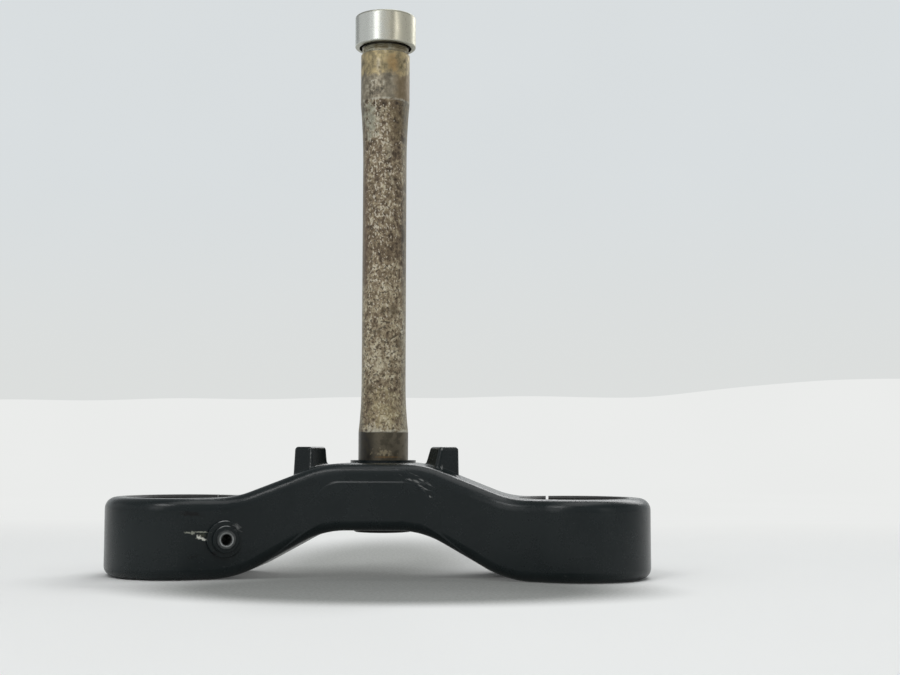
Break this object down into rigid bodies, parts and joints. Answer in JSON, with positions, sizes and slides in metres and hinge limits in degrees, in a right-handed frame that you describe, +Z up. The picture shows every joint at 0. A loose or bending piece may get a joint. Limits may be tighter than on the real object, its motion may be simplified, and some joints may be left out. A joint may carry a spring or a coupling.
{
  "type": "motorcycle triple clamp",
  "caption": "Lower fork clamp of a motorcycle: black cast bridge with split fork rings, steering stops and a tapped boss, with a pressed-in steel steering stem and a round nut on its top.",
  "frame": {"origin": "on the steering axis, at the lower bearing's shoulder on top of the clamp", "axes": "+Z up the steering stem, -Y to the front where the fork tubes are, +X to the right seen from the front"},
  "size_m": [0.261, 0.09, 0.2819],
  "materials": {
    "black_paint": "satin black paint on cast aluminium, scuffed and chipped",
    "stem_steel": "turned steel, stained on the seats and speckled with light rust between them",
    "nut_steel": "polished",
    "screw_steel": "dark plated steel"
  },
  "bodies": {
    "root": {"lower_clamp": "black_paint", "steering_stem": "stem_steel", "stem_nut": "nut_steel", "pinch_screws": "screw_steel"}
  },
  "joints": []
}
